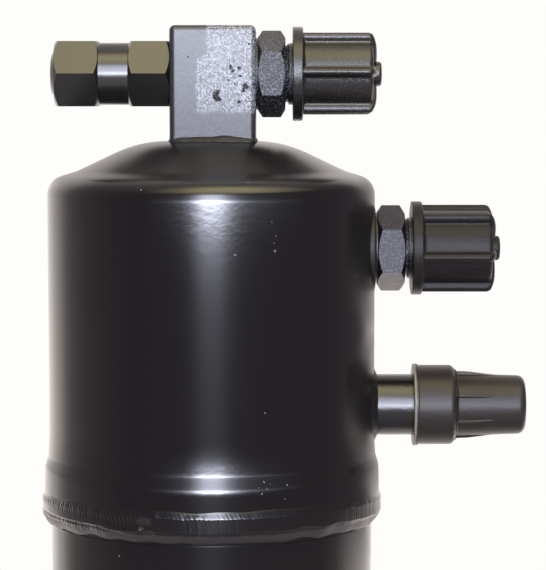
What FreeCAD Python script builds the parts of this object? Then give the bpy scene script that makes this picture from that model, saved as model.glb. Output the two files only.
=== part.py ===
import FreeCAD, Part
import math
import os
from FreeCAD import Vector

# Receiver drier: a steel vessel in two halves joined by one girth weld, with a head block that
# carries the inlet and a relief valve, and an outlet and a service port in its side.
# Origin: centre of the flat base. +Z is up the vessel's axis, +X points out of the ports.
# All lengths are in millimetres.

# Vessel
body_diameter = 95.3
vessel_height = 220.0
shell_wall = 2.0
slip_gap = 0.05
crown_corner_radius = 36.0
crown_corner_at = 20.64
cone_angle = 25.5
crease_inset = 8.45
crease_radius = 5.0
crease_angle = 15.7
shoulder_radius = 5.8

# Lap joint: the joggle starts this far below the crown
joggle_drop = 89.4
joggle_length = 6.3
joggle_bend_radius = 6.0
skirt_length = 9.3
tongue_gap = 2.3
tongue_step = 0.35
weld_lap = 3.2
weld_toe = 5.4
weld_crown = 0.65
weld_shoulder = 1.0

# Lower half: its radius is this much less than the upper one's
lower_shell_step = 0.55
base_corner_radius = 12.0

# Head block
block_side = 24.7
block_offset = 0.75
block_height = 33.1
block_corner_radius = 1.6
block_spigot_radius = 7.0
block_spigot_length = 6.0
block_passage_radius = 4.5
block_weld_leg = 2.2
block_weld_depth = 1.6
head_axis_above_crown = 19.38

# Threaded fittings of the inlet and the outlet (M18 x 1.5)
hex_flats = 21.7
hex_length = 8.0
hex_chamfer_angle = 35.0
hex_face_share = 0.972
fitting_collar_length = 0.5
fitting_collar_radius = 10.4
fitting_neck_length = 14.4
fitting_thread_radius = 8.95
fitting_nose_radius = 6.6
fitting_nose_length = 7.4
fitting_bore_radius = 4.6
fitting_relief_radius = 8.2
fitting_relief_length = 0.9
ring_radius = 1.1
ring_groove_depth = 0.9
inlet_spigot_radius = 8.0
inlet_spigot_length = 8.6
inlet_hex_turn = 0.0
outlet_drop = 31.2
outlet_spigot_radius = 9.0
outlet_spigot_length = 7.7
outlet_stand_off = 0.05
outlet_weld_depth = 6.0
outlet_hex_turn = -4.0
outlet_weld_radius = 12.7

# Ribbed screw caps
cap_length = 24.4
cap_flange_radius = 13.65
cap_flange_length = 3.0
cap_base_radius = 10.9
cap_rib_count = 6
cap_rib_tip_radius = 13.35
cap_rib_width = 2.5
cap_rib_corner_radius = 3.0
cap_end_inset = 1.3
cap_end_wall = 2.0
cap_nub_radius = 3.7
cap_nub_length = 1.4
cap_root_fillet = 1.2
inlet_cap_turn = 2.0
outlet_cap_turn = -10.0
thread_clearance = 0.08
seal_thickness = 1.4
seal_side_gap = 0.25

# Service port
service_drop = 77.2
service_neck_radius = 8.95
service_thread_radius = 8.0
service_inner_length = 5.65
service_neck_length = 11.75
service_thread_length = 10.6
service_weld_radius = 12.3
service_weld_length = 0.95
service_weld_depth = 7.0
service_weld_rise = 1.5
service_passage_radius = 3.4
core_bore_radius = 4.2
core_bore_depth = 12.0

# Service cap
service_cap_overlap = 0.5
service_lip_radius = 12.0
service_lip_length = 1.4
service_barrel_radius = 11.65
service_barrel_length = 11.5
service_barrel_corner_length = 1.3
service_nose_root_radius = 9.1
service_nose_tip_radius = 8.5
service_nose_length = 20.0
service_nose_wall = 1.8
service_fin_count = 6
service_fin_turn = 23.0
service_fin_width = 2.8
service_fin_radius = 9.9
service_fin_length = 11.3
service_fin_slope = 1.6

# Valve core
core_gap = 0.05
core_length = 10.6
core_spring_bore = 2.3
core_shoulder = 2.0
pin_radius = 0.8
pin_plug_radius = 2.4
pin_plug_length = 1.8
pin_collar_radius = 2.1
pin_collar_length = 0.8
core_spring_length = 6.0
core_spring_mean_radius = 1.75
core_spring_wire_radius = 0.25
core_spring_turns = 5

# Relief valve, lengths to the left of the block
relief_flats = 18.75
relief_inner_hex = 12.1
relief_groove_length = 8.5
relief_groove_radius = 9.0
relief_outer_hex = 12.85
relief_spigot_radius = 6.4
relief_spigot_length = 8.0
relief_passage_radius = 2.5
relief_bore_radius = 6.5
relief_seat_depth = 7.0
relief_seat_radius = 3.6
relief_seat_height = 0.8
relief_seal_radius = 4.6
relief_seal_thickness = 1.5
relief_seal_proud = 0.4
poppet_length = 4.5
poppet_flats = 11.6
poppet_stem_radius = 1.8
poppet_guide_gap = 0.06
relief_plug_length = 4.4
relief_plug_head_radius = 7.3
relief_plug_head_length = 1.2
relief_plug_corner_radius = 1.4
relief_vent_count = 4
relief_vent_radius = 0.9
relief_vent_circle = 4.1
relief_spring_mean_radius = 4.3
relief_spring_wire_radius = 0.55
relief_spring_turns = 6

# Pickup tube, strainer and the packed bed
tube_radius = 6.0
tube_wall = 1.0
tube_bend_radius = 18.0
tube_foot = 14.0
tube_seat_gap = 0.05
strainer_bottom = 5.0
strainer_length = 16.0
strainer_wall = 1.2
strainer_slot_count = 8
strainer_slot_width = 1.6
strainer_slot_length = 6.5
pan_side_gap = 0.3
pan_wall = 1.2
lower_pan_height = 14.0
upper_pan_height = 8.0
pan_hole_radius = 2.0
pan_hole_margin = 10.0
pan_hole_spacing = 10.0
pad_thickness = 5.0
port_to_pan_gap = 4.3
soft_gap = 0.3
retainer_spring_mean_radius = 9.2
retainer_spring_wire_radius = 1.1
retainer_spring_length = 26.0
retainer_spring_turns = 6
spring_stop_radius = 12.5
spring_stop_thickness = 2.5

# Values worked out from the sizes above
body_radius = body_diameter / 2
lower_radius = body_radius - lower_shell_step
tongue_radius = lower_radius - tongue_step
skirt_inner_radius = lower_radius - slip_gap
skirt_radius = skirt_inner_radius + shell_wall
inner_radius = body_radius - shell_wall
bore_radius = lower_radius - shell_wall
crown = vessel_height
crease_at = body_radius - crease_inset
joggle_top = crown - joggle_drop
joggle_bottom = joggle_top - joggle_length
skirt_end = joggle_bottom - skirt_length
tongue_top = joggle_bottom - tongue_gap
weld_top = skirt_end + weld_lap
weld_bottom = skirt_end - weld_toe
head_axis = crown + head_axis_above_crown
outlet_axis = crown - outlet_drop
service_axis = crown - service_drop
half_block = block_side / 2
block_left = block_offset - half_block
block_right = block_offset + half_block
outlet_collar_start = body_radius + outlet_stand_off
outlet_spigot_end = outlet_collar_start - outlet_spigot_length
service_start = body_radius - service_inner_length
service_shoulder = body_radius + service_neck_length
service_end = service_shoulder + service_thread_length
service_weld_end = body_radius + service_weld_length
core_bore_start = service_end - core_bore_depth
service_cap_start = service_shoulder - service_cap_overlap
service_barrel_end = service_cap_start + service_barrel_length
service_nose_start = service_barrel_end + service_barrel_corner_length
service_nose_end = service_nose_start + service_nose_length
service_fin_end = service_nose_start + service_fin_length

X = Vector(1, 0, 0)
Y = Vector(0, 1, 0)
Z = Vector(0, 0, 1)


def rounded_face(corners):
    """A closed face from (point, radius) corners; a radius of 0 leaves the corner sharp."""
    ends = []
    arcs = []
    count = len(corners)
    for i, (at, radius) in enumerate(corners):
        before = corners[i - 1][0]
        after = corners[(i + 1) % count][0]
        if radius <= 0:
            ends.append((at, at))
            arcs.append(None)
            continue
        u = (before - at).normalize()
        v = (after - at).normalize()
        half = u.getAngle(v) / 2
        reach = radius / math.tan(half)
        start = at + u * reach
        end = at + v * reach
        centre = at + (u + v).normalize() * (radius / math.sin(half))
        middle = centre + (at - centre).normalize() * radius
        ends.append((start, end))
        arcs.append(Part.Arc(start, middle, end).toShape())
    edges = []
    for i in range(count):
        if arcs[i]:
            edges.append(arcs[i])
        start = ends[i][1]
        end = ends[(i + 1) % count][0]
        if (end - start).Length > 1e-7:
            edges.append(Part.LineSegment(start, end).toShape())
    return Part.Face(Part.Wire(edges))


def turned(section, base=Vector(0, 0, 0), axis=X):
    """A solid of revolution from (along, radius[, corner radius]) points about an axis."""
    out = Z if abs(axis.z) < 0.5 else X
    corners = []
    for point in section:
        corner_radius = point[2] if len(point) > 2 else 0
        corners.append((base + axis * point[0] + out * point[1], corner_radius))
    return rounded_face(corners).revolve(base, axis, 360)


def rod(radius, start, end, base=Vector(0, 0, 0), axis=X):
    """A plain cylinder between two places along an axis."""
    return Part.makeCylinder(radius, end - start, base + axis * start, axis)


def hex_bar(flats, start, end, base, turn, chamfered=(True, True)):
    """A hexagon bar along X with chamfered ends; turn 0 points two corners up and down."""
    corner = flats / math.sqrt(3)
    face = flats / 2 * hex_face_share
    depth = (corner - face) / math.tan(math.radians(hex_chamfer_angle + 20))
    points = []
    for i in range(7):
        angle = math.radians(turn + 90 + 60 * i)
        points.append(base + X * start + Y * (corner * math.cos(angle)) + Z * (corner * math.sin(angle)))
    bar = Part.Face(Part.makePolygon(points)).extrude(X * (end - start))
    envelope = [(start, 0), (start, face if chamfered[0] else corner)]
    if chamfered[0]:
        envelope.append((start + depth, corner))
    if chamfered[1]:
        envelope.append((end - depth, corner))
    envelope.extend([(end, face if chamfered[1] else corner), (end, 0)])
    return bar.common(turned(envelope, base))


def coil(mean_radius, wire_radius, length, turns, base, axis):
    """An open compression spring between two flat faces, length apart."""
    rise = length - 2 * wire_radius
    grown = 10 / mean_radius
    helix = Part.makeHelix(grown * rise / turns, grown * rise, grown * mean_radius)
    section = Part.Wire(Part.makeCircle(grown * wire_radius, Vector(grown * mean_radius, 0, 0), Y))
    spring = Part.Wire(helix.Edges).makePipeShell([section], True, True).scaled(1 / grown)
    spring.translate(Z * wire_radius)
    turn = FreeCAD.Rotation(Z, axis)
    spring.Placement = FreeCAD.Placement(base, turn).multiply(spring.Placement)
    return spring


def around(shape, count, base, axis, first=0.0, step=None):
    """Copies of a shape, evenly spaced about an axis."""
    copies = []
    for i in range(count):
        copy = shape.copy()
        copy.rotate(base, axis, first + i * (step if step else 360.0 / count))
        copies.append(copy)
    return copies


def shell_outline():
    """Bent line of the upper half's outer face, (point, bend radius) from the crown to the skirt."""
    crease_height = crown - (crease_at - crown_corner_at) * math.tan(math.radians(cone_angle))
    shoulder_height = crease_height - (body_radius - crease_at) * math.tan(math.radians(crease_angle))
    return [
        (Vector(0, 0, crown), 0),
        (Vector(crown_corner_at, 0, crown), crown_corner_radius),
        (Vector(crease_at, 0, crease_height), crease_radius),
        (Vector(body_radius, 0, shoulder_height), shoulder_radius),
        (Vector(body_radius, 0, joggle_top), joggle_bend_radius),
        (Vector(skirt_radius, 0, joggle_bottom), joggle_bend_radius),
        (Vector(skirt_radius, 0, skirt_end), 0),
    ]


def inside_of(outline, wall):
    """The same bent line one wall thickness further in, with bends that share their centres."""
    inner = []
    last = len(outline) - 1
    for i, (at, radius) in enumerate(outline):
        before = (at - outline[max(i, 1) - 1][0] if i else outline[1][0] - at).normalize()
        after = (outline[i + 1][0] - at if i < last else at - outline[i - 1][0]).normalize()
        first = Vector(before.z, 0, -before.x)
        second = Vector(after.z, 0, -after.x)
        shift = (first + second) * (wall / (1 + first.dot(second)))
        bend = radius
        if radius > 0:
            bend = radius - wall if before.cross(after).y > 0 else radius + wall
        inner.append((at + shift, bend))
    return inner


def outer_vessel():
    """The upper half as a solid block, with the outer face of the real shell."""
    section = shell_outline() + [(Vector(0, 0, skirt_end), 0)]
    return rounded_face(section).revolve(Vector(0, 0, 0), Z, 360)


def upper_shell():
    """Deep-drawn upper half with a domed top, a joggled skirt and its three port holes."""
    outline = shell_outline()
    section = outline + inside_of(outline, shell_wall)[::-1]
    shell = rounded_face(section).revolve(Vector(0, 0, 0), Z, 360)
    crown_hole = rod(block_spigot_radius + slip_gap, crown - 4 * shell_wall, crown + 1, axis=Z)
    outlet_hole = rod(outlet_spigot_radius + slip_gap, outlet_spigot_end, body_radius + 1, Z * outlet_axis)
    service_hole = rod(service_neck_radius + slip_gap, service_start - 2, body_radius + 1, Z * service_axis)
    return shell.cut(crown_hole).cut(outlet_hole).cut(service_hole)


def lower_shell():
    """Deep-drawn lower half: a cup with a flat base and a tongue that slips into the skirt."""
    section = [
        (Vector(0, 0, 0), 0),
        (Vector(lower_radius, 0, 0), base_corner_radius),
        (Vector(lower_radius, 0, weld_bottom), 0),
        (Vector(tongue_radius, 0, weld_bottom), 0),
        (Vector(tongue_radius, 0, tongue_top), 0.4),
        (Vector(bore_radius, 0, tongue_top), 0.4),
        (Vector(bore_radius, 0, shell_wall), base_corner_radius - shell_wall),
        (Vector(0, 0, shell_wall), 0),
    ]
    return rounded_face(section).revolve(Vector(0, 0, 0), Z, 360)


def girth_weld():
    """The bead that closes the lap: over the skirt's edge and down onto the lower half."""
    shoulder = skirt_end - weld_shoulder
    crest = Vector(skirt_radius + weld_crown, 0, (weld_top + shoulder) / 2)
    face = Part.Arc(Vector(skirt_radius, 0, weld_top), crest, Vector(skirt_radius, 0, shoulder)).toShape()
    middle_radius = (skirt_radius + tongue_radius) / 2
    toe = Part.Arc(
        Vector(skirt_radius, 0, shoulder),
        Vector(middle_radius + weld_crown, 0, (shoulder + weld_bottom) / 2 - weld_crown),
        Vector(tongue_radius, 0, weld_bottom),
    ).toShape()
    rest = Part.makePolygon([
        Vector(tongue_radius, 0, weld_bottom),
        Vector(tongue_radius, 0, skirt_end),
        Vector(skirt_radius, 0, skirt_end),
        Vector(skirt_radius, 0, weld_top),
    ])
    section = Part.Face(Part.Wire([face, toe] + rest.Edges))
    return section.revolve(Vector(0, 0, 0), Z, 360)


def head_block():
    """Square block with a cross passage, a passage down to the vessel and a spigot in its foot."""
    block = Part.makeBox(block_side, block_side, block_height, Vector(block_left, -half_block, crown))
    block = block.makeFillet(block_corner_radius, [
        edge for edge in block.Edges if edge.BoundBox.ZMax > crown + 1
    ])
    block = block.fuse(rod(block_spigot_radius, crown - block_spigot_length, crown + 1, axis=Z))
    base = Z * head_axis
    inlet_port = rod(inlet_spigot_radius + slip_gap, block_right - inlet_spigot_length - 0.4, block_right, base)
    relief_depth = relief_spigot_length + 0.4
    relief_port = rod(relief_spigot_radius + slip_gap, block_left, block_left + relief_depth, base)
    inlet_way = rod(block_passage_radius, 0, block_right, base)
    relief_way = rod(relief_passage_radius, block_left, 0, base)
    down_way = rod(block_passage_radius, crown - block_spigot_length, head_axis, axis=Z)
    for cutter in (inlet_port, relief_port, inlet_way, relief_way, down_way):
        block = block.cut(cutter)
    return block.removeSplitter()


def block_weld():
    """Fillet weld round the block's foot, cut to the dome below it."""
    def square(half, height):
        corners = [(-half, -half), (half, -half), (half, half), (-half, half)]
        radius = block_corner_radius + half - half_block
        return rounded_face([(Vector(block_offset + x, y, height), radius) for x, y in corners]).Wires[0]

    foot = half_block + block_weld_leg
    skirt = Part.makeLoft([square(foot, crown), square(half_block, crown + block_weld_leg)], True)
    root = Part.Face(square(foot, crown)).extrude(Z * -block_weld_depth)
    block = Part.Face(square(half_block, crown)).extrude(Z * (2 * block_weld_leg))
    spigot = rod(block_spigot_radius + slip_gap, crown - 4 * shell_wall, crown + 1, axis=Z)
    weld = skirt.fuse(root).cut(block).cut(outer_vessel()).cut(spigot)
    return max(weld.Solids, key=lambda solid: solid.Volume)


def threaded_nose(hex_end):
    """Outline of a fitting beyond its hexagon: thread relief, thread, chamfer, nose and ring groove."""
    neck_end = hex_end + fitting_neck_length
    nose_end = neck_end + fitting_nose_length
    groove = neck_end + fitting_nose_length / 2
    floor = fitting_nose_radius - ring_groove_depth
    return [
        (hex_end, fitting_relief_radius),
        (hex_end + fitting_relief_length, fitting_relief_radius),
        (hex_end + fitting_relief_length, fitting_thread_radius, 0.3),
        (neck_end - 1.0, fitting_thread_radius),
        (neck_end, fitting_thread_radius - 1.0),
        (neck_end, fitting_nose_radius),
        (groove - ring_radius, fitting_nose_radius),
        (groove - ring_radius, floor),
        (groove + ring_radius, floor),
        (groove + ring_radius, fitting_nose_radius),
        (nose_end, fitting_nose_radius, 0.5),
        (nose_end, fitting_bore_radius),
    ]


def fitting(base, start, collar_start, hex_turn, spigot_radius, spigot_corner):
    """A turned hexagon fitting along X with a spigot, a collar, a hexagon and a threaded nose."""
    hex_start = collar_start + fitting_collar_length
    hex_end = hex_start + hex_length
    section = [
        (start, fitting_bore_radius),
        (start, spigot_radius, spigot_corner),
        (collar_start, spigot_radius),
        (collar_start, fitting_collar_radius),
        (hex_start + 1, fitting_collar_radius),
        (hex_start + 1, fitting_relief_radius),
    ] + threaded_nose(hex_end)
    bar = hex_bar(hex_flats, hex_start, hex_end, base, hex_turn)
    bar = bar.cut(rod(fitting_bore_radius, hex_start - 1, hex_end + 1, base))
    return turned(section, base).fuse(bar).removeSplitter()


def nose_ring(base, hex_end):
    """The rubber ring in the groove of a fitting's nose."""
    groove = hex_end + fitting_neck_length + fitting_nose_length / 2
    floor = fitting_nose_radius - ring_groove_depth
    return Part.makeTorus(floor + ring_radius, ring_radius, base + X * groove, X)


def screw_cap(base, start, turn):
    """Plastic screw cap: a flange, a round cup and ribs that wrap over its end to a nub."""
    end = start + cap_length
    face = end - cap_end_inset
    cup = turned([
        (start, 0),
        (start, cap_flange_radius, 0.6),
        (start + cap_flange_length, cap_flange_radius, 0.6),
        (start + cap_flange_length, cap_base_radius, 0.6),
        (face, cap_base_radius, cap_rib_corner_radius - cap_end_inset),
        (face, 0),
    ], base)
    nub = turned([(face, 0), (face, cap_nub_radius), (end + cap_nub_length, cap_nub_radius, 1.0),
                  (end + cap_nub_length, 0)], base)
    half = cap_rib_width / 2
    root = half + cap_root_fillet
    foot = cap_base_radius - 0.6

    def rib_section(x):
        """Cross-section of one rib: straight sides with hollow roots and a rounded tip."""
        return rounded_face([
            (Vector(x, -root, foot), 0),
            (Vector(x, -half, cap_base_radius + cap_root_fillet), cap_root_fillet),
            (Vector(x, -half, cap_rib_tip_radius), half * 0.7),
            (Vector(x, half, cap_rib_tip_radius), half * 0.7),
            (Vector(x, half, cap_base_radius + cap_root_fillet), cap_root_fillet),
            (Vector(x, root, foot), 0),
            (Vector(x, 0, 0), 0),
        ])

    blank = rib_section(start + cap_flange_length / 2).extrude(X * (end - start - cap_flange_length / 2))
    envelope = turned([
        (start, 0), (start, cap_rib_tip_radius + 1), (start + cap_flange_length, cap_rib_tip_radius + 1),
        (start + cap_flange_length, cap_rib_tip_radius), (end, cap_rib_tip_radius, cap_rib_corner_radius),
        (end, 0),
    ])
    rib = blank.common(envelope)
    rib.translate(base)
    cap = cup.fuse(around(rib, cap_rib_count, base, X, -turn + 90))
    cap = cap.fuse(nub)
    cavity = turned([
        (start - 1, 0),
        (start - 1, fitting_thread_radius + thread_clearance + 1.5),
        (start + 0.7, fitting_thread_radius + thread_clearance),
        (face - cap_end_wall, fitting_thread_radius + thread_clearance),
        (face - cap_end_wall, 0),
    ], base)
    return cap.cut(cavity).removeSplitter()


def cap_seal(base, face, radius):
    """A rubber disc that lies on the floor of a cap, against the end of what the cap closes."""
    return turned([(face, 0), (face, radius, 0.2), (face + seal_thickness, radius, 0.2),
                   (face + seal_thickness, 0)], base)


def outlet_weld():
    """Weld between the shell and the outlet hexagon, cut to the round shell."""
    base = Z * outlet_axis
    ring = turned([
        (body_radius - outlet_weld_depth, outlet_spigot_radius + slip_gap),
        (body_radius - outlet_weld_depth, outlet_weld_radius),
        (outlet_collar_start, outlet_weld_radius, 0.8),
        (outlet_collar_start, outlet_spigot_radius + slip_gap),
    ], base)
    weld = ring.cut(outer_vessel())
    return max(weld.Solids, key=lambda solid: solid.Volume)


def service_port():
    """Plain stub with a shoulder, a thread under the cap and a stepped bore for the valve core."""
    base = Z * service_axis
    return turned([
        (service_start, service_passage_radius),
        (service_start, service_neck_radius, 0.5),
        (service_shoulder, service_neck_radius, 0.5),
        (service_shoulder, service_thread_radius),
        (service_end, service_thread_radius, 0.8),
        (service_end, core_bore_radius),
        (core_bore_start, core_bore_radius),
        (core_bore_start, service_passage_radius),
    ], base)


def service_port_weld():
    """Conical weld round the stub, cut to the round shell."""
    base = Z * service_axis
    cone = turned([
        (body_radius - service_weld_depth, service_neck_radius + slip_gap),
        (body_radius - service_weld_depth, service_weld_radius),
        (body_radius - service_weld_rise, service_weld_radius),
        (service_weld_end, service_neck_radius + slip_gap + 0.2),
        (service_weld_end, service_neck_radius + slip_gap),
    ], base)
    weld = cone.cut(outer_vessel())
    return max(weld.Solids, key=lambda solid: solid.Volume)


def service_cap():
    """Stepped cap with an open lip, a round barrel and a tapered nose with six low fins."""
    base = Z * service_axis
    body = turned([
        (service_cap_start, 0),
        (service_cap_start, service_lip_radius, 0.4),
        (service_cap_start + service_lip_length, service_lip_radius),
        (service_cap_start + service_lip_length, service_barrel_radius),
        (service_barrel_end, service_barrel_radius, 1.6),
        (service_nose_start, service_nose_root_radius),
        (service_nose_end, service_nose_tip_radius, 1.6),
        (service_nose_end, 0),
    ], base)
    half = service_fin_width / 2
    fin = rounded_face([
        (base + X * (service_barrel_end - 1), 0),
        (base + X * (service_barrel_end - 1) + Z * service_fin_radius, 0),
        (base + X * (service_fin_end - service_fin_slope) + Z * (service_fin_radius - 0.45), 0.8),
        (base + X * service_fin_end + Z * (service_nose_tip_radius - 0.2), 0),
        (base + X * service_fin_end, 0),
    ]).extrude(Y * service_fin_width)
    fin.translate(Y * -half)
    body = body.fuse(around(fin, service_fin_count, base, X, 90 - service_fin_turn))
    throat = service_neck_radius + thread_clearance + 0.2
    thread = service_thread_radius + thread_clearance
    floor = service_end + seal_thickness
    hollow = service_nose_root_radius - service_nose_wall
    cavity = turned([
        (service_cap_start - 1, 0),
        (service_cap_start - 1, throat),
        (service_shoulder + 0.4, throat),
        (service_shoulder + 0.4, thread),
        (floor, thread),
        (floor, 0),
    ], base)
    blind = turned([
        (floor + service_nose_wall, 0),
        (floor + service_nose_wall, hollow),
        (service_nose_end - service_nose_wall, service_nose_tip_radius - service_nose_wall),
        (service_nose_end - service_nose_wall, 0),
    ], base)
    return body.cut(cavity).cut(blind).removeSplitter()


def valve_core_body():
    """Brass sleeve of the service valve, with its seat on the vessel side."""
    base = Z * service_axis
    end = core_bore_start + core_length
    return turned([
        (core_bore_start, pin_radius + 0.3),
        (core_bore_start, core_bore_radius - core_gap),
        (end, core_bore_radius - core_gap, 0.5),
        (end, core_spring_bore),
        (core_bore_start + core_shoulder, core_spring_bore),
        (core_bore_start + core_shoulder, pin_radius + 0.3),
    ], base)


def valve_core_pin():
    """Pin that opens the service valve: a plug on the seat, a stem and a spring collar."""
    base = Z * service_axis
    seat = core_bore_start
    collar = seat + core_shoulder + core_spring_length
    return turned([
        (seat - pin_plug_length, 0),
        (seat - pin_plug_length, pin_plug_radius * 0.6),
        (seat, pin_plug_radius),
        (seat, pin_radius),
        (collar, pin_radius),
        (collar, pin_collar_radius),
        (collar + pin_collar_length, pin_collar_radius),
        (collar + pin_collar_length, pin_radius),
        (seat + core_length - 0.2, pin_radius, 0.3),
        (seat + core_length - 0.2, 0),
    ], base)


relief_face = block_left
relief_step = relief_face - relief_inner_hex
relief_step_out = relief_step - relief_groove_length
relief_end = relief_step_out - relief_outer_hex
relief_seat = relief_face - relief_seat_depth
relief_seal_face = relief_seat - relief_seat_height
poppet_back = relief_seal_face - poppet_length
relief_plug_face = relief_end + relief_plug_length


def relief_valve_body():
    """Hexagon bar body with a turned groove, a threaded spigot, a seat and a spring bore."""
    base = Z * head_axis
    inner = hex_bar(relief_flats, relief_step, relief_face, base, 30)
    outer = hex_bar(relief_flats, relief_end, relief_step_out, base, 30)
    core = turned([
        (relief_end, 0),
        (relief_end, relief_groove_radius * 0.98),
        (relief_step_out, relief_groove_radius),
        (relief_face, relief_groove_radius),
        (relief_face, relief_spigot_radius),
        (relief_face + relief_spigot_length, relief_spigot_radius, 0.6),
        (relief_face + relief_spigot_length, 0),
    ], base)
    bore = turned([
        (relief_end - 1, 0),
        (relief_end - 1, relief_bore_radius),
        (relief_seat, relief_bore_radius),
        (relief_seat, relief_seat_radius + 0.6),
        (relief_seal_face, relief_seat_radius),
        (relief_seal_face, relief_passage_radius),
        (relief_face + relief_spigot_length + 1, relief_passage_radius),
        (relief_face + relief_spigot_length + 1, 0),
    ], base)
    return core.fuse(inner).fuse(outer).cut(bore).removeSplitter()


def relief_valve_plug():
    """Screwed end plug: a rounded head with vent holes and a hole that guides the poppet's stem."""
    base = Z * head_axis
    guide = poppet_stem_radius + poppet_guide_gap
    plug = turned([
        (relief_plug_face, guide),
        (relief_plug_face, relief_bore_radius - slip_gap),
        (relief_end, relief_bore_radius - slip_gap),
        (relief_end, relief_plug_head_radius),
        (relief_end - relief_plug_head_length, relief_plug_head_radius - 2.0, relief_plug_corner_radius),
        (relief_end - relief_plug_head_length, guide),
    ], base)
    vent = rod(relief_vent_radius, relief_end - 2 * relief_plug_head_length, relief_plug_face + 1,
               base + Z * relief_vent_circle)
    for hole in around(vent, relief_vent_count, base, X, 45):
        plug = plug.cut(hole)
    return plug


def relief_valve_poppet():
    """Poppet with a rounded hexagon head that runs in the bore and a stem that runs in the plug."""
    base = Z * head_axis
    front = relief_seal_face - relief_seal_proud
    head = hex_bar(poppet_flats, poppet_back, front, base, 0, (False, False))
    head = head.common(rod(relief_bore_radius - poppet_guide_gap, poppet_back - 1, front + 1, base))
    pocket = rod(relief_seal_radius, relief_seal_face - relief_seal_thickness, front + 1, base)
    stem = turned([
        (poppet_back + 1, 0),
        (poppet_back + 1, poppet_stem_radius),
        (relief_end + 0.9, poppet_stem_radius, 0.4),
        (relief_end + 0.9, 0),
    ], base)
    return head.cut(pocket).fuse(stem).removeSplitter()


def relief_valve_seal():
    """Rubber disc in the poppet's face, shut on the seat."""
    base = Z * head_axis
    return rod(relief_seal_radius, relief_seal_face - relief_seal_thickness, relief_seal_face, base)


def pickup_tube():
    """Tube from the foot of the vessel up its axis, then bent across to the outlet fitting."""
    top = outlet_axis - tube_bend_radius
    turn = tube_bend_radius * (1 - math.sqrt(0.5))
    line = [
        Part.LineSegment(Vector(0, 0, tube_foot), Vector(0, 0, top)).toShape(),
        Part.Arc(
            Vector(0, 0, top),
            Vector(turn, 0, outlet_axis - turn),
            Vector(tube_bend_radius, 0, outlet_axis),
        ).toShape(),
        Part.LineSegment(
            Vector(tube_bend_radius, 0, outlet_axis),
            Vector(outlet_spigot_end + fitting_bore_radius - tube_seat_gap, 0, outlet_axis),
        ).toShape(),
    ]
    path = Part.Wire(line)

    def pipe(radius):
        ring = Part.Wire(Part.makeCircle(radius, Vector(0, 0, tube_foot), Z))
        return path.makePipeShell([ring], True, True)

    return pipe(tube_radius).cut(pipe(tube_radius - tube_wall))


def outlet_fitting():
    """The outlet's hexagon fitting, with a socket in its spigot for the pickup tube."""
    base = Z * outlet_axis
    body = fitting(base, outlet_spigot_end, outlet_collar_start, outlet_hex_turn, outlet_spigot_radius, 0.5)
    socket = rod(tube_radius + tube_seat_gap, outlet_spigot_end - 1, outlet_spigot_end + fitting_bore_radius,
                 base)
    return body.cut(socket)


def inlet_fitting():
    """The inlet's hexagon fitting, screwed into the head block."""
    return fitting(Z * head_axis, block_right - inlet_spigot_length, block_right, inlet_hex_turn,
                   inlet_spigot_radius, 0.8)


def pickup_strainer():
    """Slotted cup pushed over the foot of the pickup tube."""
    inner = tube_radius + tube_seat_gap
    outer = inner + strainer_wall
    cup = turned([
        (strainer_bottom, 0),
        (strainer_bottom, outer, 0.8),
        (strainer_bottom + strainer_length, outer),
        (strainer_bottom + strainer_length, inner),
        (strainer_bottom + strainer_wall, inner),
        (strainer_bottom + strainer_wall, 0),
    ], axis=Z)
    slot = Part.makeBox(outer + 1, strainer_slot_width, strainer_slot_length,
                        Vector(0, -strainer_slot_width / 2, strainer_bottom + 2 * strainer_wall))
    for cutter in around(slot, strainer_slot_count, Vector(0, 0, 0), Z):
        cup = cup.cut(cutter)
    return cup


pan_radius = bore_radius - pan_side_gap
knuckle = base_corner_radius - shell_wall
knuckle_drop = math.sqrt(knuckle ** 2 - (knuckle - pan_side_gap) ** 2)
lower_pan_foot = base_corner_radius - knuckle_drop + 2 * slip_gap
lower_pan_top = lower_pan_foot + lower_pan_height
bed_bottom = lower_pan_top + pad_thickness
upper_pan_bottom = service_axis - service_neck_radius - port_to_pan_gap - upper_pan_height
bed_top = upper_pan_bottom - pad_thickness
spring_foot = upper_pan_bottom + pan_wall
spring_top = spring_foot + retainer_spring_length


def pan(plate_bottom, rim_low, rim_high):
    """A pressed pan: a perforated plate with a rim up or down, and a hole for the pickup tube."""
    side = pan_radius - pan_wall
    disc = rod(pan_radius, plate_bottom, plate_bottom + pan_wall, axis=Z)
    rim = rod(pan_radius, rim_low, rim_high, axis=Z).cut(rod(side, rim_low - 1, rim_high + 1, axis=Z))
    way = rod(tube_radius + soft_gap, plate_bottom - pan_wall, plate_bottom + 2 * pan_wall, axis=Z)
    plate = disc.fuse(rim).cut(way)
    holes = []
    circle = pan_radius - pan_hole_margin
    while circle > tube_radius + soft_gap + 2 * pan_hole_radius:
        hole = Part.makeCylinder(pan_hole_radius, 3 * pan_wall, Vector(circle, 0, plate_bottom - pan_wall))
        holes.extend(around(hole, round(2 * math.pi * circle / pan_hole_spacing), Vector(0, 0, 0), Z))
        circle -= pan_hole_spacing
    return plate.cut(Part.makeCompound(holes)).removeSplitter()


def packed_ring(bottom, height, outer):
    """A soft or loose layer round the pickup tube."""
    return turned([
        (bottom, tube_radius + soft_gap),
        (bottom, outer),
        (bottom + height, outer),
        (bottom + height, tube_radius + soft_gap),
    ], axis=Z)


def spring_stop():
    """Collar brazed on the pickup tube, which the retainer spring pushes against."""
    return turned([
        (spring_top, tube_radius),
        (spring_top, spring_stop_radius, 0.4),
        (spring_top + spring_stop_thickness, spring_stop_radius, 0.4),
        (spring_top + spring_stop_thickness, tube_radius),
    ], axis=Z)


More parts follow.
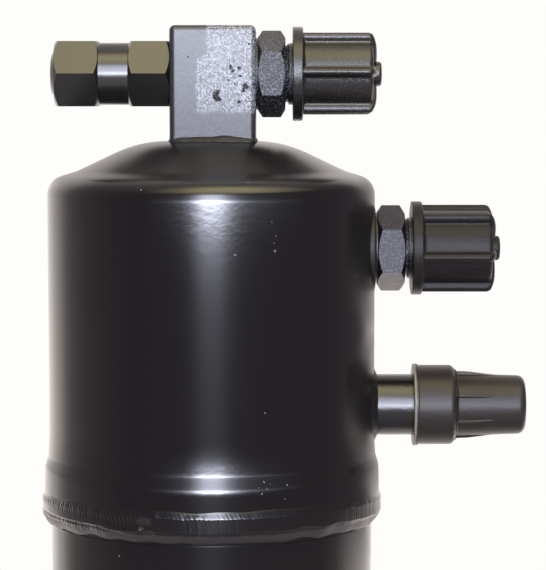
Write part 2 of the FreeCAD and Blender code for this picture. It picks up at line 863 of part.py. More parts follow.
inlet_hex_end = block_right + fitting_collar_length + hex_length
outlet_hex_end = outlet_collar_start + fitting_collar_length + hex_length
nose_reach = fitting_neck_length + fitting_nose_length
inlet_cap_start = inlet_hex_end + nose_reach + seal_thickness + cap_end_wall + cap_end_inset - cap_length
outlet_cap_start = outlet_hex_end + nose_reach + seal_thickness + cap_end_wall + cap_end_inset - cap_length
cap_seal_radius = fitting_thread_radius + thread_clearance - seal_side_gap
service_seal_radius = service_thread_radius + thread_clearance - seal_side_gap

parts = {
    "upper_shell": upper_shell(),
    "lower_shell": lower_shell(),
    "girth_weld": girth_weld(),
    "head_block": head_block(),
    "block_weld": block_weld(),
    "inlet_fitting": inlet_fitting(),
    "inlet_o_ring": nose_ring(Z * head_axis, inlet_hex_end),
    "inlet_cap": screw_cap(Z * head_axis, inlet_cap_start, inlet_cap_turn),
    "inlet_cap_seal": cap_seal(Z * head_axis, inlet_hex_end + nose_reach, cap_seal_radius),
    "outlet_fitting": outlet_fitting(),
    "outlet_o_ring": nose_ring(Z * outlet_axis, outlet_hex_end),
    "outlet_weld": outlet_weld(),
    "outlet_cap": screw_cap(Z * outlet_axis, outlet_cap_start, outlet_cap_turn),
    "outlet_cap_seal": cap_seal(Z * outlet_axis, outlet_hex_end + nose_reach, cap_seal_radius),
    "service_port": service_port(),
    "service_port_weld": service_port_weld(),
    "service_cap": service_cap(),
    "service_cap_seal": cap_seal(Z * service_axis, service_end, service_seal_radius),
    "valve_core_body": valve_core_body(),
    "valve_core_pin": valve_core_pin(),
    "valve_core_spring": coil(
        core_spring_mean_radius, core_spring_wire_radius, core_spring_length, core_spring_turns,
        Z * service_axis + X * (core_bore_start + core_shoulder), X,
    ),
    "relief_valve_body": relief_valve_body(),
    "relief_valve_plug": relief_valve_plug(),
    "relief_valve_poppet": relief_valve_poppet(),
    "relief_valve_seal": relief_valve_seal(),
    "relief_valve_spring": coil(
        relief_spring_mean_radius, relief_spring_wire_radius, poppet_back - relief_plug_face,
        relief_spring_turns, Z * head_axis + X * relief_plug_face, X,
    ),
    "pickup_tube": pickup_tube(),
    "pickup_strainer": pickup_strainer(),
    "lower_plate": pan(lower_pan_top - pan_wall, lower_pan_foot, lower_pan_top),
    "lower_pad": packed_ring(lower_pan_top, pad_thickness, bore_radius - soft_gap),
    "desiccant_bed": packed_ring(bed_bottom, bed_top - bed_bottom, bore_radius - soft_gap),
    "upper_pad": packed_ring(bed_top, pad_thickness, bore_radius - soft_gap),
    "upper_plate": pan(upper_pan_bottom, upper_pan_bottom, upper_pan_bottom + upper_pan_height),
    "retainer_spring": coil(
        retainer_spring_mean_radius, retainer_spring_wire_radius, retainer_spring_length,
        retainer_spring_turns, Z * spring_foot, Z,
    ),
    "spring_stop": spring_stop(),
}

os.makedirs("parts", exist_ok=True)
for name, shape in parts.items():
    solids = shape.Solids
    if len(solids) != 1 or not shape.isValid():
        raise ValueError(name + " is not one valid solid")
    solids[0].exportStep("parts/" + name + ".step")
    box = solids[0].BoundBox
    print(
        "%-22s %9.1f mm3  x %6.1f %6.1f  y %6.1f %6.1f  z %6.1f %6.1f"
        % (name, solids[0].Volume, box.XMin, box.XMax, box.YMin, box.YMax, box.ZMin, box.ZMax)
    )
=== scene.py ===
"""Receiver drier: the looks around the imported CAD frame."""

import math

import bpy
import numpy as np
from mathutils import Matrix, Vector


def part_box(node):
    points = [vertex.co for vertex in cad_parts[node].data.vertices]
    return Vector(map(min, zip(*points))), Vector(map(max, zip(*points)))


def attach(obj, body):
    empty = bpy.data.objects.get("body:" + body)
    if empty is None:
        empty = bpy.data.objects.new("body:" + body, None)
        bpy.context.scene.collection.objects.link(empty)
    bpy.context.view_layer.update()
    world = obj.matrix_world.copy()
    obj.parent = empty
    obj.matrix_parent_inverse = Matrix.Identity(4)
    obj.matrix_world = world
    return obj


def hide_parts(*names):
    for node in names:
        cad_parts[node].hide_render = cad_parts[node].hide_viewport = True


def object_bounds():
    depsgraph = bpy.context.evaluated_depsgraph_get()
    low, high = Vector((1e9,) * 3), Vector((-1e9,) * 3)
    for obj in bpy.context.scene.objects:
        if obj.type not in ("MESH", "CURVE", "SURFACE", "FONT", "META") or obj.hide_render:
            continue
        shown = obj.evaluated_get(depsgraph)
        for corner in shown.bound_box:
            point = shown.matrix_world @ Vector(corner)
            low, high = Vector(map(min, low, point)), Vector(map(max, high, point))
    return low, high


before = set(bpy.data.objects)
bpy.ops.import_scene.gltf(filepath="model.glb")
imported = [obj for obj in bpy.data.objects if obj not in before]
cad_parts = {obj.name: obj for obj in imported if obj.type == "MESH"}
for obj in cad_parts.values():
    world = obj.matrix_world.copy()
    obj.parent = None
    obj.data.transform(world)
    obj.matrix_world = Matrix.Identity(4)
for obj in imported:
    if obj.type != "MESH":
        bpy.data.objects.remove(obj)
cad_lo, cad_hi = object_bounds()

MM = 0.001

# The camera as fitted to the photo: metres, degrees downwards, and pixels
CAMERA_AT = Vector((0.018, -0.653, 0.2282))
PITCH = 4.4
FOCAL = 2240.0
PHOTO_HEIGHT = 570
PHOTO_CENTRE = (273, 285)


def axis_height(name):
    """The height, in mm, of the axis of a round node that points to the side."""
    low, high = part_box(name)
    return (low.z + high.z) / 2 / MM


INLET_Z = axis_height("inlet_cap_seal")
OUTLET_Z = axis_height("outlet_weld")
SERVICE_Z = axis_height("service_port")


def seen_at(px, py, *names):
    """The point of the named CAD nodes that the main camera sees at a place in its picture."""
    pitch = math.radians(PITCH)
    across = (px - PHOTO_CENTRE[0]) / FOCAL
    up = (PHOTO_CENTRE[1] - py) / FOCAL
    sine, cosine = math.sin(pitch), math.cos(pitch)
    way = Vector((across, cosine + up * sine, up * cosine - sine)).normalized()
    nearest = None
    for name in names:
        hit, at, *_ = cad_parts[name].ray_cast(CAMERA_AT, way)
        if hit and (nearest is None or (at - CAMERA_AT).length < (nearest - CAMERA_AT).length):
            nearest = at
    return nearest


# Materials


def new_material(name, colour, roughness, metallic=0.0, specular=0.5, coat=0.0, coat_roughness=0.1):
    mat = bpy.data.materials.new(name)
    mat.use_nodes = True
    shader = mat.node_tree.nodes["Principled BSDF"]
    shader.inputs["Base Color"].default_value = (*colour, 1)
    shader.inputs["Roughness"].default_value = roughness
    shader.inputs["Metallic"].default_value = metallic
    shader.inputs["Specular IOR Level"].default_value = specular
    shader.inputs["Coat Weight"].default_value = coat
    shader.inputs["Coat Roughness"].default_value = coat_roughness
    return mat


def link(mat, a, b):
    mat.node_tree.links.new(a, b)


def node(mat, kind, **values):
    made = mat.node_tree.nodes.new(kind)
    for key, value in values.items():
        setattr(made, key, value)
    return made


def place(mat):
    return node(mat, "ShaderNodeTexCoord").outputs["Object"]


def noise(mat, scale, detail=2.0, roughness=0.5, at=None):
    made = node(mat, "ShaderNodeTexNoise")
    made.inputs["Scale"].default_value = scale
    made.inputs["Detail"].default_value = detail
    made.inputs["Roughness"].default_value = roughness
    link(mat, at or place(mat), made.inputs["Vector"])
    return made.outputs["Fac"]


def bump(mat, height, strength, distance):
    made = node(mat, "ShaderNodeBump")
    made.inputs["Strength"].default_value = strength
    made.inputs["Distance"].default_value = distance
    link(mat, height, made.inputs["Height"])
    shader = mat.node_tree.nodes["Principled BSDF"]
    link(mat, made.outputs["Normal"], shader.inputs["Normal"])
    return made


def maths(mat, operation, *values, clamp=False):
    made = node(mat, "ShaderNodeMath", operation=operation)
    made.use_clamp = clamp
    for i, value in enumerate(values):
        if isinstance(value, (int, float)):
            made.inputs[i].default_value = value
        else:
            link(mat, value, made.inputs[i])
    return made.outputs[0]


def stepped(mat, value, low, high, to_low=0.0, to_high=1.0):
    """Smooth change from one level to another while value goes from low to high."""
    made = node(mat, "ShaderNodeMapRange", interpolation_type="SMOOTHSTEP")
    for name, level in (("From Min", low), ("From Max", high), ("To Min", to_low), ("To Max", to_high)):
        made.inputs[name].default_value = level
    link(mat, value, made.inputs["Value"])
    return made.outputs["Result"]


def mixed(mat, fac, a, b):
    made = node(mat, "ShaderNodeMix", data_type="RGBA")
    for key, value in (("A", a), ("B", b)):
        if isinstance(value, tuple):
            made.inputs[key].default_value = (*value, 1)
        else:
            link(mat, value, made.inputs[key])
    link(mat, fac, made.inputs["Factor"])
    return made.outputs["Result"]


def drive(mat, name, value):
    link(mat, value, mat.node_tree.nodes["Principled BSDF"].inputs[name])


def axes(mat):
    """The object's own x, y and z at each point of its surface."""
    made = node(mat, "ShaderNodeSeparateXYZ")
    link(mat, place(mat), made.inputs[0])
    return made.outputs


def distance_from(mat, at):
    made = node(mat, "ShaderNodeVectorMath", operation="DISTANCE")
    link(mat, place(mat), made.inputs[0])
    made.inputs[1].default_value = at
    return made.outputs["Value"]


def spots(mat, marks):
    """1 inside any of the (point, radius) marks, with ragged edges."""
    ragged = noise(mat, 2600, 3, 0.7)
    total = None
    for at, radius in marks:
        reach = maths(mat, "ADD", distance_from(mat, at), maths(mat, "MULTIPLY", ragged, radius * 1.2))
        inside = stepped(mat, reach, radius * 1.1, radius * 1.6, 1.0, 0.0)
        total = inside if total is None else maths(mat, "MAXIMUM", total, inside)
    return total


def flecks(mat, scale, low, high):
    """0..1 flecks of about one over scale metres."""
    return stepped(mat, noise(mat, scale, 2, 0.6), low, high)


def glint_speckle(mat, scale, low, high, bright):
    """Flecks of a brighter colour over the material's own: painted glints, standing in for light sparkling on a
    grainy surface.
    """
    own = tuple(mat.node_tree.nodes["Principled BSDF"].inputs["Base Color"].default_value[:3])
    drive(mat, "Base Color", mixed(mat, flecks(mat, scale, low, high), own, bright))


# Pale scuffs on the shell's paint, as (across, down, radius in mm): pixel places in the photo
WALL = ("upper_shell", "lower_shell")
BLACK = (0.0036, 0.0030, 0.0036)
BARE = (0.085, 0.08, 0.075)
scuffs = [
    (248, 182, 0.35), (235, 255, 0.3), (265, 413, 0.25), (119, 556, 0.35), (287, 485, 0.4), (357, 275, 0.3),
    (272, 222, 0.22), (276, 236, 0.22), (274, 243, 0.18), (275, 251, 0.42), (141, 190, 0.3), (126, 178, 0.3),
    (264, 482, 0.35), (267, 489, 0.3), (262, 494, 0.3), (270, 484, 0.2), (259, 488, 0.22), (285, 499, 0.2),
]
black_paint = new_material("black_paint", BLACK, 0.09, specular=0.5)
marks = [(seen_at(x, y, *WALL), size * MM) for x, y, size in scuffs]
scuffed = spots(black_paint, [mark for mark in marks if mark[0]])
drive(black_paint, "Base Color", mixed(black_paint, scuffed, BLACK, BARE))
gloss = stepped(black_paint, axes(black_paint)["Z"], 0.2060, 0.2100, 0.075, 0.30)
for port_z in (OUTLET_Z, SERVICE_Z):
    from_port = distance_from(black_paint, (0.0476, -0.004, port_z * MM))
    gloss = maths(black_paint, "MAXIMUM", gloss, stepped(black_paint, from_port, 0.019, 0.036, 0.36, 0.0))
scuff_roughness = maths(black_paint, "MULTIPLY", scuffed, 0.6)
drive(black_paint, "Roughness", maths(black_paint, "MAXIMUM", gloss, scuff_roughness))
orange_peel = maths(
    black_paint, "ADD", noise(black_paint, 620, 2),
    maths(black_paint, "MULTIPLY", noise(black_paint, 3200, 2, 0.6), 0.35),
)
bump(black_paint, orange_peel, 0.05, 0.0001)

# The block's front: a smooth skin on its left third, a cast grain on the rest and some pits.
# Pale bluish flecks over the grain are painted glints of the window's highlight; the pits get painted shade.
block_paint = new_material("block_paint", (0.004, 0.004, 0.005), 0.36, specular=0.5)
apart = axes(block_paint)
centred = maths(block_paint, "SUBTRACT", noise(block_paint, 260, 3, 0.6), 0.5)
wander = maths(block_paint, "MULTIPLY", centred, 0.0034)
step_in = stepped(block_paint, apart["Z"], 0.2428, 0.2452, 0.0, 0.0028)
edge = maths(block_paint, "SUBTRACT", maths(block_paint, "ADD", apart["X"], wander), step_in)
grained = maths(
    block_paint, "MULTIPLY", stepped(block_paint, edge, -0.0042, -0.0034),
    stepped(block_paint, maths(block_paint, "ADD", apart["Z"], wander), 0.2272, 0.2302),
)
fine = noise(block_paint, 1500, 4, 0.85)
coarse = noise(block_paint, 420, 3, 0.6)
pit_marks = [
    (218, 96, 1.7), (231, 67, 0.75), (233, 71, 0.6), (239, 68, 0.6), (246, 86, 1.1), (239, 102, 0.45),
    (249, 44, 0.35), (188, 57, 0.28), (243, 91, 0.6), (235, 84, 0.35), (229, 80, 0.3), (240, 76, 0.4),
]
inner_marks = [(221.5, 95, 1.35), (233, 66, 0.5), (248.5, 84, 0.7), (241, 67, 0.35)]


def face_marks(marks):
    return spots(block_paint, [(seen_at(x, y, "head_block"), size * MM) for x, y, size in marks])


pits = maths(block_paint, "SUBTRACT", face_marks(pit_marks), face_marks(inner_marks), clamp=True)
grain = maths(block_paint, "ADD", fine, maths(block_paint, "MULTIPLY", coarse, 1.2))
relief_height = maths(
    block_paint, "MULTIPLY",
    maths(block_paint, "SUBTRACT", grain, 1.1),
    stepped(block_paint, grained, 0.0, 1.0, 0.16, 1.0),
)
relief_height = maths(block_paint, "SUBTRACT", relief_height, maths(block_paint, "MULTIPLY", pits, 3.0))
bump(block_paint, relief_height, 0.36, 0.00022)
drive(block_paint, "Roughness", stepped(block_paint, grained, 0.0, 1.0, 0.345, 0.19))
# Painted glints: pale bluish flecks in the colour, mostly on the grain and none in the pits, stand in for the
# window's highlight
fleck = flecks(block_paint, 2300, 0.36, 0.64)
glint_share = stepped(block_paint, grained, 0.0, 1.0, 0.10, 1.0)
painted_glints = maths(block_paint, "MULTIPLY", fleck, glint_share)
painted_glints = maths(block_paint, "MULTIPLY", painted_glints, stepped(block_paint, pits, 0.2, 0.7, 1.0, 0.0))
drive(block_paint, "Base Color", mixed(block_paint, painted_glints, (0.004, 0.004, 0.005), (0.19, 0.20, 0.225)))
by_height = stepped(block_paint, apart["Z"], 0.216, 0.256, 0.34, 0.56)
# In the pits the specular level drops: painted shade for the shadow inside the cavities
pit_gloss = stepped(block_paint, pits, 0.2, 0.9, 1.0, 0.3)
drive(block_paint, "Specular IOR Level", maths(block_paint, "MULTIPLY", by_height, pit_gloss))

relief_finish = new_material("relief_finish", (0.008, 0.0076, 0.007), 0.22, specular=0.6)
bump(relief_finish, noise(relief_finish, 1500, 3, 0.7), 0.10, 0.0001)

fitting_paint = new_material("fitting_paint", (0.004, 0.0036, 0.005), 0.20, specular=0.5)
bump(fitting_paint, noise(fitting_paint, 1150, 4, 0.9), 0.6, 0.0003)
# Painted glints: pale bluish flecks on the fitting's paint
glint_speckle(fitting_paint, 1900, 0.50, 0.64, (0.06, 0.062, 0.075))

outlet_paint = new_material("outlet_fitting_paint", (0.004, 0.0038, 0.006), 0.10, specular=0.45)
bump(outlet_paint, noise(outlet_paint, 1150, 4, 0.9), 0.5, 0.0003)

stub_paint = new_material("stub_paint", (0.004, 0.0036, 0.004), 0.22, specular=0.5)
bump(stub_paint, noise(stub_paint, 1200, 3, 0.8), 0.4, 0.00015)

dull_weld = new_material("dull_weld", (0.005, 0.0042, 0.0042), 0.5, specular=0.3)
bump(dull_weld, noise(dull_weld, 900, 3, 0.7), 0.3, 0.0002)

# Painted glints: pale bluish flecks on the outlet fitting's paint
glint_speckle(outlet_paint, 1900, 0.58, 0.70, (0.035, 0.036, 0.045))

cap_plastic = new_material("cap_plastic", (0.006, 0.0052, 0.0052), 0.27, specular=0.5)
bump(cap_plastic, noise(cap_plastic, 1150, 4, 0.85), 0.42, 0.0002)
# Painted glints: pale warm flecks on the cap's plastic
glint_speckle(cap_plastic, 2000, 0.54, 0.68, (0.020, 0.018, 0.016))

outlet_plastic = new_material("outlet_cap_plastic", (0.0075, 0.0062, 0.0066), 0.38, specular=0.16)
bump(outlet_plastic, noise(outlet_plastic, 1150, 4, 0.85), 0.42, 0.0002)
# Painted glints: pale flecks on the outlet cap's plastic
glint_speckle(outlet_plastic, 2000, 0.56, 0.68, (0.022, 0.020, 0.021))

SERVICE_BROWN = (0.014, 0.0115, 0.0105)
service_plastic = new_material("service_cap_plastic", SERVICE_BROWN, 0.38, specular=0.27)
bump(service_plastic, noise(service_plastic, 1250, 3, 0.8), 0.34, 0.00018)
# The cap's lip, up to about 59.6 mm along, is a pale beige
along = axes(service_plastic)["X"]
unevenness = maths(service_plastic, "MULTIPLY", noise(service_plastic, 700, 2), 0.0004)
uneven_x = maths(service_plastic, "ADD", along, unevenness)
pale_lip = stepped(service_plastic, uneven_x, 0.0596, 0.0600, 1.0, 0.0)
drive(service_plastic, "Base Color", mixed(service_plastic, pale_lip, SERVICE_BROWN, (0.15, 0.125, 0.10)))

weld_paint = new_material("weld_paint", (0.004, 0.0034, 0.004), 0.12, specular=0.5)
rubber = new_material("black_rubber", (0.012, 0.012, 0.012), 0.6)
brass = new_material("core_brass", (0.55, 0.40, 0.16), 0.3, metallic=1.0)
plain_steel = new_material("plain_steel", (0.42, 0.41, 0.39), 0.35, metallic=1.0)
spring_steel = new_material("spring_steel", (0.40, 0.39, 0.38), 0.3, metallic=1.0)
felt = new_material("felt", (0.72, 0.70, 0.64), 0.95)
desiccant = new_material("desiccant", (0.70, 0.58, 0.42), 0.8)

finish_of = {
    "service_port": stub_paint,
    "service_port_weld": dull_weld,
    "outlet_weld": dull_weld,
    "block_weld": dull_weld,
    "head_block": block_paint,
    "inlet_fitting": fitting_paint,
    "outlet_fitting": outlet_paint,
    "relief_valve_body": relief_finish,
    "relief_valve_plug": relief_finish,
    "relief_valve_poppet": plain_steel,
    "relief_valve_seal": rubber,
    "relief_valve_spring": spring_steel,
    "inlet_cap": cap_plastic,
    "outlet_cap": cap_plastic,
    "service_cap": service_plastic,
    "inlet_cap_seal": rubber,
    "outlet_cap_seal": rubber,
    "service_cap_seal": rubber,
    "inlet_o_ring": rubber,
    "outlet_o_ring": rubber,
    "valve_core_body": brass,
    "valve_core_pin": brass,
    "valve_core_spring": spring_steel,
    "retainer_spring": spring_steel,
    "spring_stop": plain_steel,
    "pickup_tube": plain_steel,
    "pickup_strainer": plain_steel,
    "lower_plate": plain_steel,
    "upper_plate": plain_steel,
    "lower_pad": felt,
    "upper_pad": felt,
    "desiccant_bed": desiccant,
}
for name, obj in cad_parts.items():
    obj.data.materials.clear()
    obj.data.materials.append(finish_of.get(name, black_paint))


# Pieces


def grid_mesh(name, points, material, around=True):
    """A closed skin from rows of points: points[i][j], joined round in j and, if around is set, in i."""
    rows, columns = points.shape[:2]
    mesh = bpy.data.meshes.new(name)
    faces = []
    for i in range(rows if around else rows - 1):
        k = (i + 1) % rows
        for j in range(columns):
            m = (j + 1) % columns
            faces.append((i * columns + j, k * columns + j, k * columns + m, i * columns + m))
    mesh.from_pydata([tuple(p) for p in points.reshape(-1, 3)], [], faces)
    mesh.validate()
    mesh.materials.append(material)
    obj = bpy.data.objects.new(name, mesh)
    bpy.context.scene.collection.objects.link(obj)
    for polygon in mesh.polygons:
        polygon.use_smooth = True
    return obj


def smoothstep(value, low, high):
    t = np.clip((value - low) / (high - low), 0, 1)
    return t * t * (3 - 2 * t)


def waves(angle, seed, low, high, count):
    """Sum of sine waves round the vessel, about -1..1, that closes on itself."""
    rng = np.random.default_rng(seed)
    total = np.zeros_like(angle)
    for _ in range(count):
        total = total + np.sin(rng.integers(low, high) * angle + rng.uniform(0, 2 * np.pi))
    return total / math.sqrt(count)


def girth_bead():
    """The wide bead over the lap: a smooth upper toe, a rippled face, and an overlapped start and stop."""
    turns = 1440
    belt, lower_wall = 49.0, 47.0
    top_z, crest_z, bottom_z = 119.6, 117.5, 110.2
    steps = 56
    angle = np.linspace(0, 2 * np.pi, turns, endpoint=False)[:, None]
    # signed angle from the camera's side, -180..180 degrees, growing to the right
    front = np.degrees(angle) - 180.0
    t = np.linspace(0, 1, steps)[None, :]
    top = top_z + 0.35 * waves(angle, 3, 4, 30, 5) * 0.5
    bottom = bottom_z + 0.5 * waves(angle, 5, 5, 40, 6) * 0.5
    drop = smoothstep(np.abs(front), 40, 85) * 1.1
    bottom = bottom - drop
    top = top - 1.6 * smoothstep(np.abs(front), 50, 85)
    z = top + (bottom - top) * t
    crest = crest_z - 1.2 * smoothstep(np.abs(front), 50, 85) + 0.25 * waves(angle, 8, 10, 60, 6) * 0.5
    upper = belt + 0.14 + 0.50 * smoothstep(z, top, crest)
    lower = lower_wall + 0.02 + 2.62 * np.clip((z - bottom) / 3.6, 0, 1) ** 0.62
    radius = np.minimum(upper, lower)
    # the overlapped run on the left: a ridge that sinks to the right, with a furrow below it
    left = smoothstep(front, -88, -70) * (1 - smoothstep(front, -26, -21))
    ridge = 115.0 - 2.4 * smoothstep(front, -40, -24)
    swell = 0.32 * np.exp(-((z - ridge) / 0.8) ** 2)
    furrow = 0.28 * np.exp(-((z - ridge + 1.25) / 0.42) ** 2)
    radius = radius + left * (swell - furrow)
    # the crater where the bead ends
    crater = np.exp(-(((front + 20.5) / 2.2) ** 2)) * np.exp(-(((z - 115.2) / 2.4) ** 2))
    rim = np.exp(-(((front + 16.8) / 0.9) ** 2)) * np.exp(-(((z - 115.6) / 3.0) ** 2))
    radius = radius - 0.55 * crater + 0.30 * rim
    # ripples left by the puddle
    chevron = front * 1.0 + 0.8 * ((z - 114.5) / 3.0) ** 2
    strength = 0.010 + 0.030 * left + 0.02 * smoothstep(front, 20, 60)
    ripple = np.sin(chevron * 2 * np.pi / 1.45 + 1.5 * waves(angle, 11, 3, 20, 4))
    body = smoothstep(z, bottom + 0.4, bottom + 1.6) * (1 - smoothstep(z, top - 1.2, top))
    radius = radius + strength * ripple * body
    radius = radius + 0.035 * waves(angle, 21, 20, 140, 14) * body * (0.4 + 0.6 * left)
    radius = np.where(t <= 0.0, belt, radius)
    radius = np.where(t >= 1.0, lower_wall, radius)
    inner_r = np.array([46.97, 46.97, belt])
    inner_z = np.array([bottom_z, 114.97, 114.97])
    ones = np.ones((turns, 1))
    radius = np.hstack([radius, ones * inner_r])
    z = np.hstack([z, bottom, ones * inner_z[1:]])
    radius = np.minimum(radius, cad_hi.y / MM - 0.012)
    side = np.radians(front)
    x = radius * np.sin(side)
    y = -radius * np.cos(side)
    points = np.stack([x, y, z], axis=-1) * MM
    return grid_mesh("girth_bead", points, weld_paint)


bead = girth_bead()
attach(bead, "vessel")
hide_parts("girth_weld")


def rounded(profile, radii, steps=6):
    """The profile's corners turned into arcs: profile is (x, r) points, radii one value per inner point."""
    points = [profile[0]]
    for before, corner, after, radius in zip(profile, profile[1:], profile[2:], radii):
        a = np.array(before) - corner
        b = np.array(after) - corner
        length_a = np.linalg.norm(a)
        length_b = np.linalg.norm(b)
        a = a / length_a
        b = b / length_b
        half = math.acos(float(np.clip(np.dot(a, b), -1, 1))) / 2
        if radius <= 0 or abs(half - math.pi / 2) < 0.01:
            points.append(tuple(corner))
            continue
        reach = min(radius / math.tan(half), 0.48 * length_a, 0.48 * length_b)
        radius = reach * math.tan(half)
        middle = np.array(corner) + (a + b) / np.linalg.norm(a + b) * radius / math.sin(half)
        start = np.array(corner) + a * reach - middle
        end = np.array(corner) + b * reach - middle
        sweep = math.atan2(start[0] * end[1] - start[1] * end[0], float(np.dot(start, end)))
        for i in range(steps + 1):
            turn = sweep * i / steps
            c, q = math.cos(turn), math.sin(turn)
            points.append((middle[0] + c * start[0] - q * start[1], middle[1] + q * start[0] + c * start[1]))
    points.append(profile[-1])
    return np.array(points)


def finer(profile, step):
    """The same profile with no gap between points longer than step."""
    points = [profile[0]]
    for a, b in zip(profile, profile[1:]):
        count = max(1, math.ceil(float(np.linalg.norm(b - a)) / step))
        points.extend(a + (b - a) * i / count for i in range(1, count + 1))
    return np.array(points)


def turned_about_x(name, profile, axis_z, material, radius_at=None, columns=720):
    """A closed skin turned about the line y = 0, z = axis_z, with each ring's radius changed by radius_at."""
    angle = np.linspace(0, 2 * np.pi, columns, endpoint=False)[None, :]
    x = profile[:, 0][:, None] * np.ones_like(angle)
    r = profile[:, 1][:, None] * np.ones_like(angle)
    if radius_at is not None:
        x, r = radius_at(x, r, angle)
    points = np.stack([x, -r * np.cos(angle), axis_z + r * np.sin(angle)], axis=-1) * MM
    return grid_mesh(name, points, material, around=False)

# The screw caps in mm: length, then radii
CAP_LENGTH = 24.4
CAP_BORE = 9.12
CAP_FLANGE = 13.62
CAP_BARREL = 10.9
CAP_BUTTON = 3.6
CAP_RIB = 13.2


def ribbed_cap(name, start, length, axis_z, turn, plastic):
    """Screw cap with six rounded ribs that run over its end to a small button."""
    end = start + length
    outer = [
        (start, CAP_BORE), (start, CAP_FLANGE), (start + 3.0, CAP_FLANGE), (start + 3.05, CAP_BARREL),
        (end - 1.3, CAP_BARREL),
        (end - 1.3, CAP_BUTTON), (end + 1.36, CAP_BUTTON), (end + 1.36, 0.0),
    ]
    shape = rounded(outer, (0.25, 0.5, 0.9, 1.3, 0.25, 0.8))
    shape = finer(shape, 0.55)
    inner = finer(np.array([(end - 3.35, 0.0), (end - 3.35, CAP_BORE), (start, CAP_BORE)]), 1.5)
    profile = np.vstack([inner[:-1], shape])
    first = len(inner) - 1

    def with_ribs(x, r, angle):
        raised_x = x.copy()
        raised_r = r.copy()
        on_side = (x > start + 3.02) & (x <= end - 1.3 + 0.001) & (r > CAP_BUTTON + 0.05)
        on_side[:first] = False
        # the rib's crest: straight along the side, a round corner, then down the end face
        share = np.clip((CAP_BARREL - r) / (CAP_BARREL - CAP_BUTTON), 0, 1)
        side_r = np.where(share > 0, CAP_RIB - share * 9.4, CAP_RIB)
        corner = 2.6
        over = np.clip(x - (end - corner), 0, corner)
        round_r = CAP_RIB - corner + np.sqrt(np.clip(corner ** 2 - over ** 2, 0, None))
        along = np.clip((x - (start + 3.02)) / (end - 1.3 - start - 3.02), 0, 1)
        side_x = start + 3.02 + along * (end - 1.5 - start - 3.02)
        crest_x = np.where(share > 0.02, end - 0.1 - 1.6 * (1 - share) ** 4, side_x)
        crest_r = np.where(share > 0.02, side_r * 0.985, np.minimum(CAP_RIB, round_r))
        raised_x = np.where(on_side, crest_x, raised_x)
        raised_r = np.where(on_side, crest_r, raised_r)
        spacing = np.pi / 3
        off = (angle - np.radians(turn) + spacing / 2) % spacing - spacing / 2
        width = 1.25
        reach = np.abs(off) * np.maximum(r, 4.0) / width
        lift = np.sqrt(np.clip(1 - reach ** 2, 0, 1)) + 0.10 * np.exp(-((reach - 1.0) / 0.28) ** 2)
        lift = np.clip(lift, 0, 1) * on_side
        return x + (raised_x - x) * lift, r + (raised_r - r) * lift

    return turned_about_x(name, profile, axis_z, plastic, with_ribs)


caps = (("inlet", INLET_Z, 2.0, cap_plastic), ("outlet", OUTLET_Z, -10.0, outlet_plastic))
for side, axis_z, turn, plastic in caps:
    low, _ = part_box(side + "_cap")
    cap = ribbed_cap(side + "_cap_ribbed", low.x / MM, CAP_LENGTH, axis_z, turn, plastic)
    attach(cap, side + "_cap")
    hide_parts(side + "_cap")


def thread(name, start, end, axis_z, crest, root, pitch, material, body):
    """A helical thread as one closed sleeve round a neck."""
    rings = int((end - start) / pitch * 20)
    x = np.linspace(start, end, rings)[:, None]
    angle = np.linspace(0, 2 * np.pi, 144, endpoint=False)[None, :]
    phase = ((x / pitch - angle / (2 * np.pi)) % 1.0)
    wave = np.clip(1 - np.abs(phase - 0.5) * 2 / 0.86, 0, 1)
    r = root + (crest - root) * np.clip(wave * 1.15, 0, 1)
    fade = smoothstep(x, start, start + 0.8) * (1 - smoothstep(x, end - 0.6, end))
    r = root + (r - root) * fade
    x = x + 0 * angle
    points = np.stack([x, -r * np.cos(angle), axis_z + r * np.sin(angle)], axis=-1)
    inner = points[[0, -1]].copy()
    for row, at in ((0, start), (1, end)):
        radius = root - 0.4
        inner[row, :, 1] = -radius * np.cos(angle[0])
        inner[row, :, 2] = axis_z + radius * np.sin(angle[0])
    points = np.concatenate([inner[:1], points, inner[1:]]) * MM
    obj = grid_mesh(name, points, material)
    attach(obj, body)
    return obj


def block_bead():
    """The small bead round the block's foot, drawn out a little at the front and the back."""
    count = 720
    steps = 20
    half = 12.35
    angle = np.linspace(0, 2 * np.pi, count, endpoint=False)[:, None]
    t = np.linspace(0, 1, steps)[None, :]
    # a square with round corners, followed by its polar angle
    exponent = 9.0
    square = (np.abs(np.cos(angle)) ** exponent + np.abs(np.sin(angle)) ** exponent) ** (-1 / exponent) * half
    top = 220.75 + 0.8 * np.abs(np.sin(angle)) ** 3 + 0.18 * waves(angle, 31, 3, 14, 5)
    out = 0.75 + 0.95 * np.abs(np.sin(angle)) ** 3 + 0.12 * waves(angle, 37, 5, 30, 6)
    bulge = np.sin(t * np.pi / 2)
    fall = 1 - np.cos(t * np.pi / 2)
    r = square - 0.12 + out * bulge
    drop = (np.maximum(square - 10.0, 0)) ** 2 * 0.011 + 1.6
    z = top - (top - 220.0 + drop) * fall
    x = 0.75 + r * np.cos(angle)
    y = r * np.sin(angle)
    inner_r = square - 2.5
    inner = np.stack([
        np.hstack([0.75 + inner_r * np.cos(angle)] * 2),
        np.hstack([inner_r * np.sin(angle)] * 2),
        np.hstack([z[:, -1:], top - 0.3]),
    ], axis=-1)
    points = np.concatenate([np.stack([x, y, z], axis=-1), inner], axis=1) * MM
    obj = grid_mesh("block_bead", points, dull_weld)
    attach(obj, "vessel")
    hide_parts("block_weld")
    return obj


